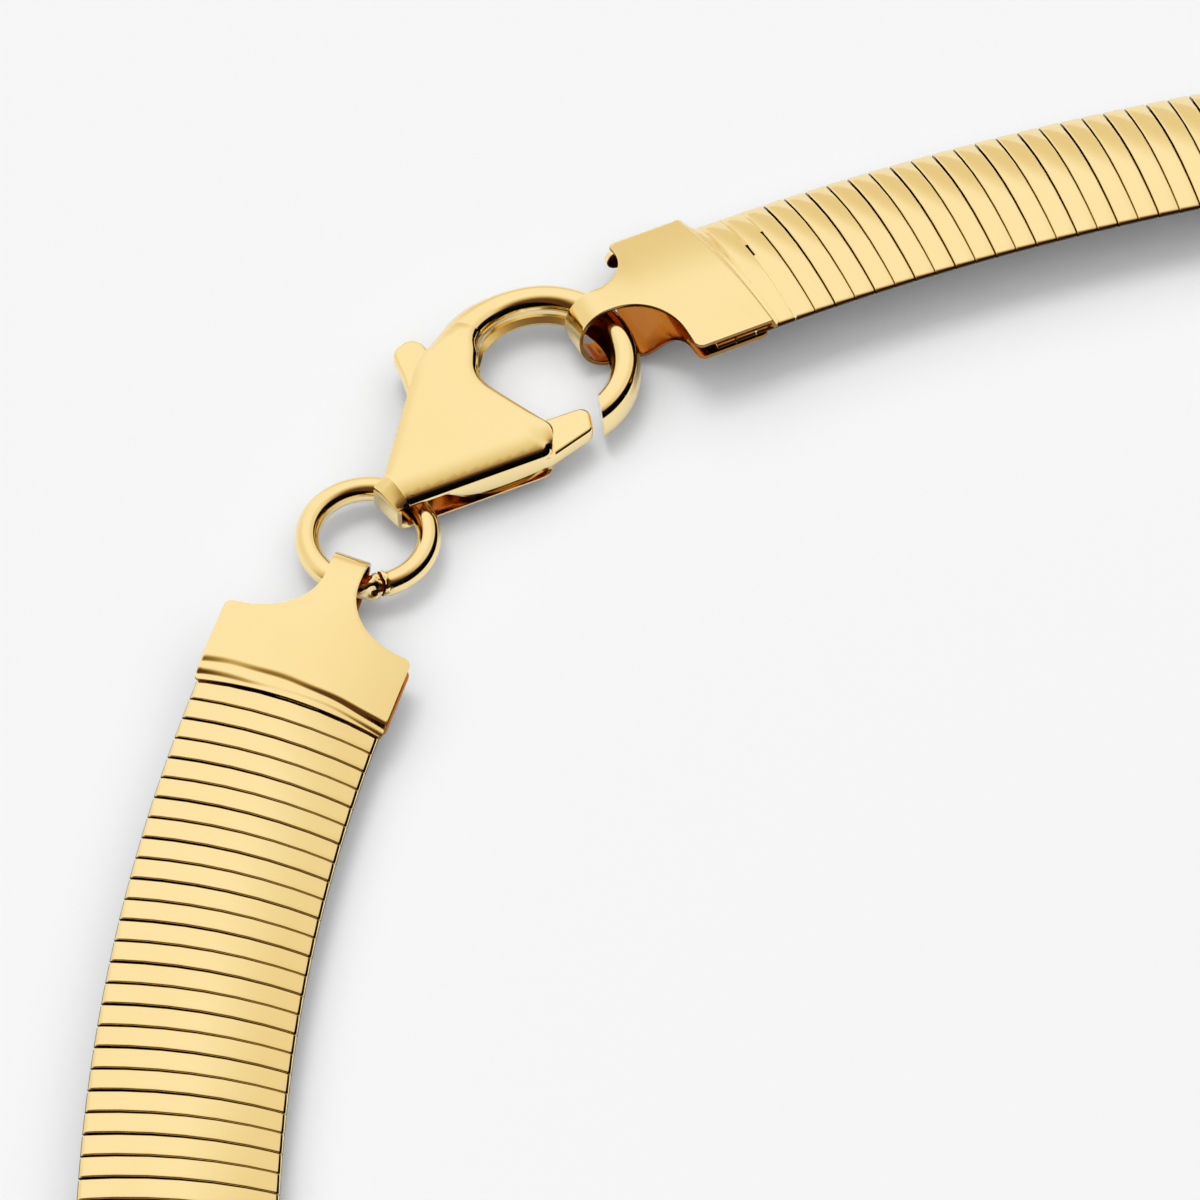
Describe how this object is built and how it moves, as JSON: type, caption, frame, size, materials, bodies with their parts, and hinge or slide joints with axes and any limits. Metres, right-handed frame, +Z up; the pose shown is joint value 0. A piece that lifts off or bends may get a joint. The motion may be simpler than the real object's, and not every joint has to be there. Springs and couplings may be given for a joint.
{
  "type": "omega necklace",
  "caption": "Flat omega necklace of domed plates on a woven core, closed into a loop by two end caps, a jump ring and a sprung lobster clasp.",
  "frame": {"origin": "on the table under the middle of the closed loop's box", "axes": "+Z up from the table, +Y from the back of the neck to the clasp, +X to the side of the right end cap"},
  "size_m": [0.1446, 0.1615, 0.0042],
  "materials": {
    "band": "polished yellow gold",
    "caps": "polished yellow gold",
    "clasp": "polished yellow gold"
  },
  "bodies": {
    "necklace": {"band_right": "band", "band_left": "band", "end_cap_right": "caps", "end_cap_left": "caps", "jump_ring": "clasp", "clasp_body": "clasp"},
    "lever": {"clasp_lever": "clasp"}
  },
  "joints": [
    {"name": "lever_pivot", "type": "hinge", "parent": "necklace", "child": "lever", "pos_m": [-0.00431, 0.07588, 0.00165], "axis": [0, 0, 1], "range_deg": [0, 25], "stiffness_Nm_per_rad": 0.002, "springref_deg": -20.05}
  ]
}
